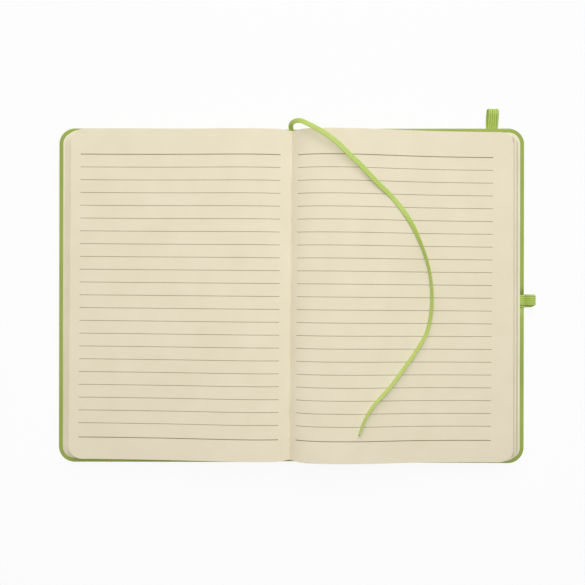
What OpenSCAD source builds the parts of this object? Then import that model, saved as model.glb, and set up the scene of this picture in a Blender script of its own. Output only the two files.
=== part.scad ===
// Open hard-cover notebook lying flat, seen with its ruled pages up.
// Origin: middle of the spine's outer face, on the table. +X to the back
// cover, +Y to the head of the pages, +Z up. All sizes in mm.

/* [Case] */
// height of the covers, head to tail
cover_h = 211.4; // [150:0.2:260]
// width of one cover, joint to fore-edge
cover_w = 135.3; // [100:0.1:180]
// width of the spine strip
spine_w = 13.5; // [11:0.5:22]
// flexible joint between the spine strip and a board
joint_w = 5; // [4:0.5:8]
// radius of the covers' outer corners
cover_r = 10; // [3:0.5:16]
// board thickness
board_t = 2; // [1.8:0.1:3]
// thickness of the strip inside the spine
strip_t = 1; // [0.6:0.1:1.6]
// thickness of the coated cloth on the outside
skin_t = 0.6; // [0.4:0.1:1]
// pared thickness of the cloth turned in over the edges
turn_t = 0.4; // [0.3:0.05:0.6]
// width of the cloth turned in over the edges
turn_w = 13; // [10:1:18]
// how far the spine's ends sit back from the covers' edges
spine_back = 0.3; // [0:0.1:1.5]

/* [Endpapers] */
// thickness of the endpapers
paper_t = 0.15; // [0.1:0.05:0.3]
// cloth left uncovered round the endpapers
square_w = 2.8; // [1.5:0.05:4]

/* [Pages] */
// pages to the covers' head and tail
head_square = 2.4; // [1:0.1:4]
// sections of folded leaves on the left of the opening
left_sections = 7; // [4:1:10]
// sections of folded leaves on the right of the opening
right_sections = 5; // [3:1:10]
// thickness of one section of eight leaves
section_t = 0.74; // [0.6:0.02:0.9]
// lowest left leaf to the cover's fore-edge
left_square = 3; // [2.5:0.25:6]
// lowest right leaf to the cover's fore-edge
right_square = 3.75; // [2.5:0.25:6]
// how far the top leaves draw back from the lowest left one
bevel = 5.6; // [1:0.1:9]
// radius of the pages' outer corners
page_r = 8.5; // [3:0.5:14]
// height of the wave in the left pages
left_wave = 6; // [3:0.1:8]
// height of the wave in the right pages
right_wave = 10.6; // [4:0.1:12]
// turn of the pages in their case, degrees
block_skew = 0.4; // [0:0.05:0.6]

/* [Ruling] */
// distance between two lines
line_pitch = 8; // [6:0.5:9]
// distance between the last two lines
last_pitch = 8.9; // [6:0.1:12]
// width of a line
line_w = 0.3; // [0.2:0.05:0.6]
// width of the first and the last line
heavy_w = 0.5; // [0.3:0.05:1]
// head of the page to the first line
head_margin = 16; // [10:0.1:20]
// least margin under the last line
foot_margin = 13; // [8:0.5:20]
// gutter to the lines on the left page
left_gutter = 7.2; // [3:0.1:12]
// fore-edge to the lines on the left page
left_margin = 6.2; // [3:0.1:16]
// gutter to the lines on the right page
right_gutter = 3.6; // [3:0.1:12]
// fore-edge to the lines on the right page
right_margin = 12.8; // [3:0.1:16]

/* [Elastic] */
// width of the closing band
band_w = 6.8; // [5:0.1:10]
// thickness of the closing band
band_t = 0.7; // [0.5:0.05:0.9]
// closing band to the fore-edge
band_inset = 19; // [14:0.1:30]
// slack loop of the closing band past the head
band_slack = 13; // [6:0.5:20]
// slots of the closing band to the head and the tail
slot_inset = 17; // [15:0.5:24]
// width of the pen loop
loop_w = 6.7; // [5:0.1:12]
// how far the pen loop stands out past the cover
loop_out = 7.2; // [6.5:0.1:12]
// pen loop below the middle of the cover
loop_drop = 2.5; // [-20:0.5:20]

/* [Ribbon] */
// width of the ribbon
ribbon_w = 3; // [2:0.1:4]
// thickness of the ribbon
ribbon_t = 0.4; // [0.3:0.05:0.6]

/* [Hidden] */
$fn = 48;

green = [0.66, 0.75, 0.40];
dark_green = [0.60, 0.70, 0.36];
cream = [0.93, 0.89, 0.80];
white_paper = [0.95, 0.93, 0.87];
card_grey = [0.62, 0.59, 0.54];
line_brown = [0.66, 0.61, 0.50];

// joints of the case
hinge_x = spine_w / 2 + joint_w / 2;
hinge_gap = 0.45;
board_x = spine_w / 2 + joint_w;
cover_x = board_x + cover_w;
case_t = skin_t + board_t + turn_t;
fit_gap = 0.1;

// the back cover leans on two layers of the closing band
band_x = cover_x - band_inset;
band_lift = 2 * (band_t + fit_gap);
lean = atan(band_lift / (band_x - hinge_x));

// the pages follow the case
page_h = cover_h - 2 * head_square;
left_reach = cover_x - left_square;
right_reach = cover_x - right_square;
top_reach = left_reach - bevel;
lining_inset = 8;
line_count = 2 + floor((page_h - head_margin - foot_margin - last_pitch)
  / line_pitch);

// endpapers: outline, and the two levels of the pastedown
paper_x = cover_x - square_w;
paper_y = cover_h / 2 - square_w;
paper_r = cover_r - square_w;
leaf_z = case_t + paper_t;
seat_gap = 0.02;
page_z = leaf_z + paper_t + seat_gap;

// spine of the sewn pages: an arch thrown up by the opening
foot_x = 2.4;
fold_t = 1.3;
thread_d = 0.5;
stitch_w = 30;

// how the wave rises from the gutter
left_rise = 9;
right_rise = 7.5;
rise_lead = 2;
// distances where the waves have dropped by half
left_fall = 0.47 * top_reach;
right_fall = 0.49 * top_reach;
// share of the fanned air that stays inside a section
air_share = 0.6;
// flat width at the fore-edge where the sections lie on each other
flat_w = 14;
flat_x = top_reach - flat_w;
lap = 0.02;
steps = 14;

// height of the case under a point of the right pages
function lean_at(d) = d < hinge_x ? 0 : (d - hinge_x) * tan(lean);
function fall(d, half, power) = 1 / (1 + pow(d / half, power));
function wave(d, high, rise, half, power) =
  high * (1 - exp(-(d + rise_lead) / rise))
  * max(0, fall(d, half, power) - fall(flat_x, half, power));
function wave_at(side, d) = side < 0
  ? wave(d, left_wave, left_rise, left_fall, 3)
  : wave(d, right_wave, right_rise, right_fall, 4);
function sections(side) = side < 0 ? left_sections : right_sections;
function reach(side) = side < 0 ? left_reach : right_reach;
function floor_at(side, d) = page_z + (side < 0 ? 0 : lean_at(d));

// height of the lowest point of the gutter crease, and of the arch below it
gutter_z = max(left_sections * section_t + wave_at(-1, 0),
  right_sections * section_t + wave_at(1, 0));
arch_h = gutter_z - fold_t;

// where section edge k leaves the arch, k counted from the cover
function arch_at(side, k) = [foot_x * cos(90 * k / sections(side)),
  arch_h * sin(90 * k / sections(side))];
// underside and top of section k at distance d
function under(side, k, d) = k * section_t
  + wave_at(side, d) * k / sections(side);
function over(side, k, d) = under(side, k, d) + section_t
  + wave_at(side, d) / sections(side)
  * (k == sections(side) - 1 ? 1 : air_share);
// a curve that starts at point p of the arch and joins height z at distance d
function join(p, z0, z, d) = z + (p[1] - z0) * exp(-(d - p[0]) / 3);
// stations along a page, the same for every section
stations = [for (i = [1 : steps]) flat_x * pow(i / steps, 1.8)];
function page_end(side, k) = reach(side)
  - (reach(side) - top_reach) * (k + 1) / sections(side);

// height of the top leaf above the table
function top_at(side, d) = floor_at(side, d)
  + over(side, sections(side) - 1, d)
  + (gutter_z - over(side, sections(side) - 1, 0)) * exp(-d / 3);

function section_points(side, k) =
  let (a = arch_at(side, k), b = arch_at(side, k + 1), e = page_end(side, k),
    last = k == sections(side) - 1,
    low = concat([for (d = stations) if (d > foot_x) d], [e]),
    high = last ? concat([0], stations, [e]) : low)
  concat(
    [[side * a[0], page_z + a[1]]],
    [for (d = low) [side * d, floor_at(side, d)
      - (k > 0 && d >= flat_x ? lap : 0)
      + join(a, under(side, k, a[0]), under(side, k, d), d)]],
    [for (i = [len(high) - 1 : -1 : 0]) let (d = high[i])
      [side * d, last ? top_at(side, d) : floor_at(side, d)
        + join(b, over(side, k, b[0]), over(side, k, d), d)]],
    [last ? [0, page_z + arch_h] : [side * b[0], page_z + b[1]]]);

// strip of constant thickness along the arch
function arch_strip(low, high) = concat(
  [for (i = [0 : 12]) let (a = 180 * i / 12)
    [(foot_x + low) * cos(a), page_z + (arch_h + low) * sin(a)]],
  [for (i = [12 : -1 : 0]) let (a = 180 * i / 12)
    [(foot_x + high) * cos(a), page_z + (arch_h + high) * sin(a)]]);

// sweep of a flat strip: ring points, then one polyhedron
strip_shape = [[-1, -0.5], [-0.9, -1], [0.9, -1], [1, -0.5],
  [1, 0.5], [0.9, 1], [-0.9, 1], [-1, 0.5]];
function unit(v) = v / norm(v);
function heading(p, i) = unit(p[min(i + 1, len(p) - 1)] - p[max(i - 1, 0)]);
function ring(p, i, side, w, t) =
  let (h = heading(p, i), s = unit(side - h * (side * h)), n = cross(s, h))
  [for (q = strip_shape) p[i] + s * q[0] * w / 2 + n * q[1] * t / 2];
function arc(cx, cz, r, a0, a1, n) =
  [for (i = [0 : n]) let (a = a0 + (a1 - a0) * i / n)
    [cx + r * cos(a), cz + r * sin(a)]];

// closing band: path in the upright plane through it, head to tail
slot_y = cover_h / 2 - slot_inset;
slot_w = band_t + 1.2;
tail_w = 15;
tuck_z = band_lift + skin_t + board_t - band_t / 2 - fit_gap;
bend_r = 0.75;
tip_y = cover_h / 2 + band_slack;
tip_r = 1.3;
low_z = band_t / 2 + 0.01;
high_z = low_z + band_t + 0.05;
shift_x = 0.8;
band_path = concat(
  [[slot_y - tail_w, tuck_z]],
  arc(slot_y - bend_r, tuck_z - bend_r, bend_r, 90, 0, 4),
  arc(slot_y + bend_r, high_z + bend_r, bend_r, 180, 270, 4),
  [[tip_y - band_slack - 4, high_z], [tip_y - band_slack + 2, high_z + 0.1],
    [tip_y - band_slack / 2, high_z + 1.1]],
  arc(tip_y - tip_r - band_t / 2, low_z + tip_r, tip_r, 84, -90, 8),
  [[tip_y - band_slack / 2, low_z]],
  [for (f = [1.15, 0.7, 0, -0.7, -0.86]) [f * slot_y, low_z]],
  [[-slot_y + 5, low_z + 0.12]],
  arc(-slot_y + bend_r, high_z + bend_r, bend_r, 270, 180, 4),
  arc(-slot_y + bend_r, tuck_z - bend_r, bend_r, 180, 90, 4),
  [[-slot_y + tail_w, tuck_z]]);
// the returning layer lies a little aside, between the tip and the last bends
tip_point = 12;
last_point = len(band_path) - 12;
function band_shift(y, i) = i < tip_point || i > last_point ? 0
  : -shift_x * min(1, max(0, (y + slot_y) / 20))
  * min(1, max(0, (tip_y + 1 - y) / 6));

// pen loop: path in the plane across the fore-edge
loop_z = case_t - band_t - 0.1;
loop_start = 0.25;
loop_rx = (loop_out - loop_start - band_t / 2) / 2;
loop_cx = cover_x + loop_start + loop_rx;
loop_rz = 4.4;
loop_shift = 1.5;
tuck_w = turn_w - 0.5;
tuck_dz = band_t / 2 + 0.04;
loop_path = concat(
  [[cover_x - tuck_w, loop_z + tuck_dz], [cover_x - 1, loop_z + tuck_dz]],
  [for (i = [1 : 23]) let (a = 15 * i)
    [loop_cx - loop_rx * cos(a), loop_z + loop_rz * sin(a) * abs(sin(a / 2))
      + (a < 180 ? 1 : -1) * tuck_dz * abs(cos(a / 2))]],
  [[cover_x - 1, loop_z - tuck_dz], [cover_x - tuck_w, loop_z - tuck_dz]]);
function loop_y(i) = -loop_drop - loop_shift * min(1, max(0, (i - 8) / 10));

// ribbon: points chosen by hand on pages of this reach and height, each with
// its height over the top leaf; the first ones are inside the arch
route_reach = 138.45;
route_h = 206.6;
lie = ribbon_t / 2 + 0.15;
ribbon_run = [[0, 94, -4.4], [-0.1, 99, -4.4], [-0.5, 102.8, -4], [-1, 105, -1.8],
  [-0.9, 106.4, 0.8], [0.1, 107.4, 2.6], [2, 107.8, 3.5], [4.9, 107.4, 4.1],
  [8.1, 105.8, 4.5], [12, 103.6, 4.7], [17.1, 100.7, 4.6], [21.9, 97.6, 4.4],
  [26.7, 94, 4.1], [31.1, 90, 3.7], [35.5, 85.9, 3.3], [41.6, 80.6, 2.7],
  [46.9, 75.4, 2.1], [52.1, 70.3, 1.5], [56.9, 66.1, 0.9], [61.2, 62.2, lie],
  [68.5, 53.8, lie], [74.2, 45.6, lie], [78.8, 37, lie], [82.8, 28, lie],
  [85.9, 18.6, lie], [87.6, 9, lie], [88.2, -2, lie], [87.4, -12.6, lie],
  [85, -22.6, lie], [80.6, -31.4, lie], [73.2, -42.8, lie], [69, -48.6, lie],
  [61.4, -57.4, lie], [57, -62.2, lie], [52.8, -66.8, lie], [49.8, -71, lie],
  [47.4, -75.2, lie], [45.6, -79.4, lie], [44.4, -83, lie], [43.5, -86, lie]];
ribbon_path = [for (p = ribbon_run) let (x = p[0] * top_reach / route_reach)
  [x, p[1] * page_h / route_h, top_at(1, max(0, x)) + p[2]]];
function page_slope(x) = x < 14 ? 0 : top_at(1, x + 0.5) - top_at(1, x - 0.5);

module cover_shape(x0, inset, r) {
  x1 = cover_x - inset;
  y1 = cover_h / 2 - inset;
  translate([x0, -y1]) square([x1 - r - x0, 2 * y1]);
  translate([x0, -y1 + r]) square([x1 - x0, 2 * (y1 - r)]);
  for (s = [-1, 1]) translate([x1 - r, s * (y1 - r)]) circle(r);
}

module board() {
  translate([0, 0, skin_t]) linear_extrude(board_t)
    cover_shape(board_x, skin_t, cover_r - skin_t);
}

module frame_shape(x0, y1, x1) {
  translate([x0, -y1]) square([x1 - x0, 2 * y1]);
}

module skin() {
  x0 = hinge_x + hinge_gap / 2;
  color(green) {
    linear_extrude(skin_t) cover_shape(x0, 0, cover_r);
    linear_extrude(case_t) difference() {
      cover_shape(board_x, 0, cover_r);
      cover_shape(board_x - 1, skin_t, cover_r - skin_t);
      frame_shape(0, cover_h / 2 - skin_t, board_x + 5);
    }
    translate([0, 0, case_t - turn_t]) linear_extrude(turn_t) difference() {
      cover_shape(board_x, 0, cover_r);
      frame_shape(0, cover_h / 2 - turn_w, cover_x - turn_w);
    }
    for (s = [-1, 1]) {
      translate([x0, s * (cover_h / 2 - turn_w / 2) - turn_w / 2, skin_t])
        cube([board_x - x0, turn_w, turn_t]);
    }
  }
}

module pastedown() {
  x0 = hinge_x + hinge_gap / 2;
  low = skin_t + board_t;
  xi = cover_x - turn_w - fit_gap;
  yi = cover_h / 2 - turn_w - fit_gap;
  color(cream) {
    translate([0, 0, case_t]) linear_extrude(paper_t) difference() {
      cover_shape(board_x, square_w, paper_r);
      frame_shape(0, yi - paper_t, xi - paper_t);
    }
    translate([0, 0, low]) linear_extrude(paper_t) frame_shape(board_x, yi, xi);
    translate([0, 0, low]) linear_extrude(paper_t)
      frame_shape(x0, paper_y, board_x);
    translate([0, 0, low]) linear_extrude(case_t - low + paper_t) difference() {
      frame_shape(board_x, yi, xi);
      frame_shape(0, yi - paper_t, xi - paper_t);
    }
    for (s = [-1, 1]) {
      translate([board_x - paper_t, s * (paper_y + yi - paper_t) / 2
        - (paper_y - yi + paper_t) / 2, low])
        cube([paper_t, paper_y - yi + paper_t, turn_t + paper_t]);
    }
  }
}

// turns what belongs to the back cover about its joint, onto the band
module leaning() {
  translate([hinge_x, 0, 0]) rotate([0, -lean, 0])
    translate([-hinge_x, 0, 0]) children();
}

module skewed() {
  rotate([0, 0, -block_skew]) children();
}

// linear_extrude along Y of a shape drawn in X and Z
module upright(y0, y1) {
  translate([0, y1, 0]) rotate([90, 0, 0]) linear_extrude(y1 - y0) children();
}

module front_board() {
  color(card_grey) mirror([1, 0, 0]) board();
}

module front_cover_skin() {
  mirror([1, 0, 0]) skin();
}

module front_pastedown() {
  mirror([1, 0, 0]) pastedown();
}

// room in the back cover for the closing band's slots and glued ends
module band_room() {
  w = band_w + 2 * fit_gap;
  top = skin_t + board_t;
  for (s = [-1, 1]) {
    translate([band_x - w / 2, s * slot_y - slot_w / 2, -1])
      cube([w, slot_w, top + 2]);
  }
  for (y = [slot_y - tail_w - fit_gap, -slot_y])
    translate([band_x - w / 2, y, top - band_t - 2 * fit_gap])
      cube([w, tail_w + fit_gap, 2]);
}

// room in the back cover's fore-edge for the pen loop's glued ends
module loop_room() {
  w = loop_w + loop_shift + 2 * fit_gap;
  translate([cover_x - tuck_w - fit_gap, -loop_drop - loop_shift / 2 - w / 2,
    loop_z - band_t - 2 * fit_gap])
    cube([tuck_w + 2, w, 2 * band_t + 2]);
}

module back_board() {
  color(card_grey) leaning() difference() {
    board();
    band_room();
    loop_room();
  }
}

module back_cover_skin() {
  leaning() difference() {
    skin();
    band_room();
    loop_room();
  }
}

module back_pastedown() {
  leaning() pastedown();
}

module spine_strip() {
  h = cover_h - 2 * spine_back - 2 * skin_t;
  color(card_grey) translate([-spine_w / 2, -h / 2, skin_t])
    cube([spine_w, h, strip_t]);
}

module spine_skin() {
  x1 = hinge_x - hinge_gap / 2;
  y1 = cover_h / 2 - spine_back;
  color(green) {
    translate([-x1, -y1, 0]) cube([2 * x1, 2 * y1, skin_t]);
    for (s = [-1, 1]) {
      translate([-spine_w / 2, s * (y1 - skin_t / 2) - skin_t / 2, 0])
        cube([spine_w, skin_t, skin_t + strip_t + turn_t]);
      translate([-spine_w / 2, s * (y1 - turn_w / 2) - turn_w / 2,
        skin_t + strip_t])
        cube([spine_w, turn_w, turn_t]);
      for (m = [0, 1]) mirror([m, 0, 0])
        translate([spine_w / 2, s * (y1 - turn_w / 2) - turn_w / 2, skin_t])
          cube([x1 - spine_w / 2, turn_w, turn_t]);
    }
  }
}

module page_shape(side, x1, inset) {
  y1 = page_h / 2 - inset;
  x0 = side * x1;
  translate([min(0, side * (x1 - page_r)), -y1])
    square([x1 - page_r, 2 * y1]);
  translate([min(0, x0), -y1 + page_r]) square([x1, 2 * (y1 - page_r)]);
  for (s = [-1, 1])
    translate([side * (x1 - page_r), s * (y1 - page_r)]) circle(page_r);
}

// one solid: every section, and the glued folds that hold them
module pages() {
  color(cream) skewed() {
    for (side = [-1, 1], k = [0 : sections(side) - 1]) {
      inset = k % 2 == 0 ? 0 : 0.2;
      intersection() {
        upright(-page_h / 2 + inset, page_h / 2 - inset)
          polygon(section_points(side, k));
        linear_extrude(40) page_shape(side, page_end(side, k), inset);
      }
    }
    upright(-page_h / 2 + 0.1, page_h / 2 - 0.1)
      polygon(arch_strip(-0.05, 0.6));
  }
}

module spine_lining() {
  end = page_h / 2 - lining_inset;
  color(white_paper) skewed() upright(-end, end)
    polygon(arch_strip(-0.4, -0.07));
}

// folded endpaper: the leaf under the pages and its hinge over the joint
module flyleaf(side) {
  low = skin_t + board_t;
  x1 = hinge_x - hinge_gap / 2;
  lift = side < 0 ? 0 : seat_gap / 2;
  color(cream) {
    intersection() {
      upright(-paper_y, paper_y) polygon(concat(
        [for (d = [foot_x, hinge_x, paper_x])
          [side * d, leaf_z + lift + (side < 0 ? 0 : lean_at(d))]],
        [for (d = [paper_x, hinge_x, foot_x])
          [side * d, page_z - seat_gap + (side < 0 ? 0 : lean_at(d))]]));
      linear_extrude(40) mirror([side < 0 ? 1 : 0, 0, 0])
        cover_shape(0, square_w, paper_r);
    }
    upright(-paper_y, paper_y) polygon([[side * foot_x, low],
      [side * x1, low], [side * x1, low + paper_t],
      [side * (foot_x + paper_t), low + paper_t],
      [side * (foot_x + paper_t), leaf_z + paper_t],
      [side * foot_x, leaf_z + paper_t]]);
  }
}

module front_flyleaf() {
  flyleaf(-1);
}

module back_flyleaf() {
  flyleaf(1);
}

// long stitches lying in the gutter crease, one for each pair of holes
module sewing_thread() {
  pitch = page_h / 5;
  color(white_paper) skewed() for (n = [-1.5 : 1 : 1.5]) {
    translate([0, n * pitch + stitch_w / 2, page_z + gutter_z + 0.33])
      rotate([90, 0, 0]) cylinder(d = thread_d, h = stitch_w, $fn = 12);
  }
}

function line_y(n) = page_h / 2 - head_margin - n * line_pitch
  - (n == line_count - 1 ? last_pitch - line_pitch : 0);

module ruling(side) {
  start = side < 0 ? left_gutter : right_gutter;
  end = top_reach - (side < 0 ? left_margin : right_margin);
  run = concat([start],
    [for (d = stations) if (d > start + 0.05 && d < end - 0.05) d], [end]);
  color(line_brown) skewed() for (n = [0 : line_count - 1]) {
    w = n == 0 || n == line_count - 1 ? heavy_w : line_w;
    upright(line_y(n) - w / 2, line_y(n) + w / 2) polygon(concat(
      [for (d = run) [side * d, facet_at(side, d) + 0.002]],
      [for (i = [len(run) - 1 : -1 : 0])
        [side * run[i], facet_at(side, run[i]) + 0.04]]));
  }
}

// height of the top leaf's facets, straight between the page's stations
function facet_at(side, d) =
  let (all = concat([0], stations, [top_reach]),
    i = max([for (j = [0 : steps]) if (all[j] <= d) j]),
    t = (d - all[i]) / (all[i + 1] - all[i]))
  top_at(side, all[i]) * (1 - t) + top_at(side, all[i + 1]) * t;

module ruling_left() {
  ruling(-1);
}

module ruling_right() {
  ruling(1);
}

module sweep(rings) {
  n = len(rings);
  m = len(rings[0]);
  points = [for (r = rings) each r];
  faces = concat(
    [[for (j = [0 : m - 1]) j]],
    [[for (j = [m - 1 : -1 : 0]) (n - 1) * m + j]],
    [for (i = [0 : n - 2], j = [0 : m - 1])
      [i * m + j, (i + 1) * m + j, (i + 1) * m + (j + 1) % m]],
    [for (i = [0 : n - 2], j = [0 : m - 1])
      [i * m + j, (i + 1) * m + (j + 1) % m, i * m + (j + 1) % m]]);
  polyhedron(points, faces);
}

module ribbon_bookmark() {
  color(dark_green) skewed() sweep([for (i = [0 : len(ribbon_path) - 1])
    ring(ribbon_path, i,
      cross([-page_slope(ribbon_path[i][0]), 0, 1], heading(ribbon_path, i)),
      ribbon_w, ribbon_t)]);
}

module elastic_band() {
  p = [for (i = [0 : len(band_path) - 1])
    [band_x + band_shift(band_path[i][0], i), band_path[i][0],
      band_path[i][1]]];
  color(dark_green) sweep([for (i = [0 : len(p) - 1])
    ring(p, i, [1, 0, 0], band_w, band_t)]);
}

module pen_loop() {
  p = [for (i = [0 : len(loop_path) - 1])
    [loop_path[i][0], loop_y(i), loop_path[i][1]]];
  color(dark_green) leaning() sweep([for (i = [0 : len(p) - 1])
    ring(p, i, [0, 1, 0], loop_w, band_t)]);
}

front_board();
front_cover_skin();
front_pastedown();
back_board();
back_cover_skin();
back_pastedown();
spine_strip();
spine_skin();
pages();
front_flyleaf();
back_flyleaf();
spine_lining();
sewing_thread();
ruling_left();
ruling_right();
ribbon_bookmark();
elastic_band();
pen_loop();
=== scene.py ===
import math

import bpy
import numpy as np
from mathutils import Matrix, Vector


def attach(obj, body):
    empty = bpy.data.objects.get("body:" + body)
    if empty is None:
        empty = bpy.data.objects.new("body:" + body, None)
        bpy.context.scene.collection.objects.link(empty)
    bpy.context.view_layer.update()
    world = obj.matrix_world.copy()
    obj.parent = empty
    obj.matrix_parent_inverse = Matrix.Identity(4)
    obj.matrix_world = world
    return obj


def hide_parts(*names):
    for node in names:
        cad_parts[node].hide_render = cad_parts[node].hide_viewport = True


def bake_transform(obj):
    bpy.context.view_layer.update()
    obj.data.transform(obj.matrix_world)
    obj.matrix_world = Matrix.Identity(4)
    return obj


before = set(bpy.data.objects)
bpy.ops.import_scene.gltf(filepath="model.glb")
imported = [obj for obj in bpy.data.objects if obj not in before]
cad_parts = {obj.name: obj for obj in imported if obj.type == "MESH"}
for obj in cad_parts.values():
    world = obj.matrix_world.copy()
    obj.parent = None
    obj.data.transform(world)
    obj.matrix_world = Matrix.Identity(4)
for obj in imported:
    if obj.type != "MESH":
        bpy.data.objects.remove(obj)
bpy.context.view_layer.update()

mm = 0.001

# sizes of the case in mm, as in the part's source
case = {
    "coverHeight": 211.4,
    "coverWidth": 135.3,
    "spineWidth": 13.5,
    "jointWidth": 5.0,
    "cornerRadius": 10.0,
    "boardThick": 2.0,
    "stripThick": 1.0,
    "skinThick": 0.6,
    "turnThick": 0.4,
    "turnWidth": 13.0,
    "spineBack": 0.3,
    "jointReach": 1.9,    # the joint's own cloth, to each side of the hinge line
    "paperThick": 0.15,
    "bandInset": 19.0,
    "bandThick": 0.7,
    "fitGap": 0.1,
    "edgeRound": 0.85,    # radius of the cloth over a board's edge
    "spineRound": 0.6,    # the same over the spine strip's ends
    "shellThick": 0.34,   # the cloth as it is drawn
    "grooveDepth": 0.55,  # the joint pressed in from outside
}
hingeX = case["spineWidth"] / 2 + case["jointWidth"] / 2
boardX = case["spineWidth"] / 2 + case["jointWidth"]
coverX = boardX + case["coverWidth"]
bandX = coverX - case["bandInset"]
caseTop = case["skinThick"] + case["boardThick"] + case["turnThick"]
leanAngle = math.atan(2 * (case["bandThick"] + case["fitGap"]) / (bandX - hingeX))


# 0 below low, 1 above high, 3t^2 - 2t^3 between
def smoothStep(low, high, x):
    t = np.clip((x - low) / (high - low), 0, 1)
    return t * t * (3 - 2 * t)


# quads of a grid of rows x columns, each row or column closed if asked
def gridQuads(rows, columns, closeRows=False, closeColumns=False):
    i = np.arange(rows if closeRows else rows - 1)
    j = np.arange(columns if closeColumns else columns - 1)
    i, j = np.meshgrid(i, j, indexing="ij")
    i2, j2 = (i + 1) % rows, (j + 1) % columns
    quads = np.stack([i * columns + j, i2 * columns + j,
                      i2 * columns + j2, i * columns + j2], axis=-1)
    return quads.reshape(-1, 4)


# a mesh object from millimetre points and lists of faces
def meshObject(name, points, faces, material, body, nodes=(), smooth=True):
    mesh = bpy.data.meshes.new(name)
    mesh.from_pydata((np.asarray(points) * mm).tolist(), [],
                     [list(map(int, face)) for face in faces])
    mesh.polygons.foreach_set("use_smooth", [smooth] * len(mesh.polygons))
    mesh.update()
    piece = bpy.data.objects.new(name, mesh)
    bpy.context.scene.collection.objects.link(piece)
    mesh.materials.append(material)
    if body:
        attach(piece, body)
    if nodes:
        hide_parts(*nodes)
    return piece


# the back cover leans on the band: turn about the joint line, x and z mixed
def leanBack(points):
    p = np.array(points, dtype=float)
    c, s = math.cos(leanAngle), math.sin(leanAngle)
    x = p[..., 0] - hingeX
    p[..., 0], p[..., 2] = hingeX + c * x - s * p[..., 2], s * x + c * p[..., 2]
    return p


# a smooth curve through points: Hermite pieces with Catmull-Rom tangents
def smoothPath(points, spacing):
    p = np.array(points, dtype=float)
    step = np.linalg.norm(np.diff(p, axis=0), axis=1)
    t = np.concatenate([[0], np.cumsum(step)])
    tangent = np.gradient(p, t, axis=0)
    count = max(2, int(round(t[-1] / spacing)) + 1)
    u = np.linspace(0, t[-1], count)
    k = np.clip(np.searchsorted(t, u, side="right") - 1, 0, len(p) - 2)
    h = step[k][:, None]
    s = ((u - t[k]) / step[k])[:, None]
    return ((2 * s**3 - 3 * s**2 + 1) * p[k] + (s**3 - 2 * s**2 + s) * h * tangent[k]
            + (3 * s**2 - 2 * s**3) * p[k + 1] + (s**3 - s**2) * h * tangent[k + 1])


# a profile (across, thick) carried along a path; side is the way across at each point
def carriedStrip(path, side, profile):
    along = np.gradient(path, axis=0)
    along /= np.linalg.norm(along, axis=1, keepdims=True)
    across = side - along * np.sum(side * along, axis=1, keepdims=True)
    across /= np.linalg.norm(across, axis=1, keepdims=True)
    normal = np.cross(across, along)
    return (path[:, None, :] + across[:, None, :] * profile[None, :, :1]
            + normal[:, None, :] * profile[None, :, 1:2])


# faces of a carried strip with its two ends closed
def stripFaces(rings, sides):
    quads = gridQuads(rings, sides, closeColumns=True).tolist()
    ends = [list(range(sides)), [rings * sides - 1 - i for i in range(sides)]]
    return quads + ends


# materials: one principled shader each, and three groups that make heights and tones


def nodeTree(name):
    material = bpy.data.materials.new(name)
    material.use_nodes = True
    tree = material.node_tree
    tree.nodes.clear()
    out = tree.nodes.new("ShaderNodeOutputMaterial")
    shader = tree.nodes.new("ShaderNodeBsdfPrincipled")
    tree.links.new(shader.outputs["BSDF"], out.inputs["Surface"])
    return material, tree, shader


def srgb(r, g, b):
    def linear(v):
        v /= 255
        return v / 12.92 if v <= 0.04045 else ((v + 0.055) / 1.055) ** 2.4
    return (linear(r), linear(g), linear(b), 1.0)


# a shader node group with named inputs (name, default) and outputs (name, socket type)
def effectGroup(name, inputs, outputs):
    group = bpy.data.node_groups.new(name, "ShaderNodeTree")
    for label, default in inputs:
        kind = "NodeSocketVector" if default is None else "NodeSocketFloat"
        socket = group.interface.new_socket(label, in_out="INPUT", socket_type=kind)
        if default is not None:
            socket.default_value = default
    for label, kind in outputs:
        group.interface.new_socket(label, in_out="OUTPUT", socket_type=kind)
    start = group.nodes.new("NodeGroupInput")
    end = group.nodes.new("NodeGroupOutput")
    return group, start, end


def mathNode(tree, operation, a, b=None):
    node = tree.nodes.new("ShaderNodeMath")
    node.operation = operation
    for socket, value in zip(node.inputs, (a, b)):
        if value is None:
            continue
        if isinstance(value, (int, float)):
            socket.default_value = value
        else:
            tree.links.new(value, socket)
    return node.outputs[0]


# paper: long soft fibres and a cloudy look-through, both as heights round 0.5
def makePaperFibre():
    group, start, end = effectGroup(
        "paperFibre", [("Vector", None), ("Fibre Scale", 900.0), ("Cloud Scale", 60.0)],
        [("Fibre", "NodeSocketFloat"), ("Cloud", "NodeSocketFloat")])
    looks = (("Fibre Scale", "Fibre", 4.0), ("Cloud Scale", "Cloud", 3.0))
    for scaleName, outName, detail in looks:
        noise = group.nodes.new("ShaderNodeTexNoise")
        noise.inputs["Detail"].default_value = detail
        group.links.new(start.outputs["Vector"], noise.inputs["Vector"])
        group.links.new(start.outputs[scaleName], noise.inputs["Scale"])
        group.links.new(noise.outputs["Fac"], end.inputs[outName])
    return group


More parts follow.
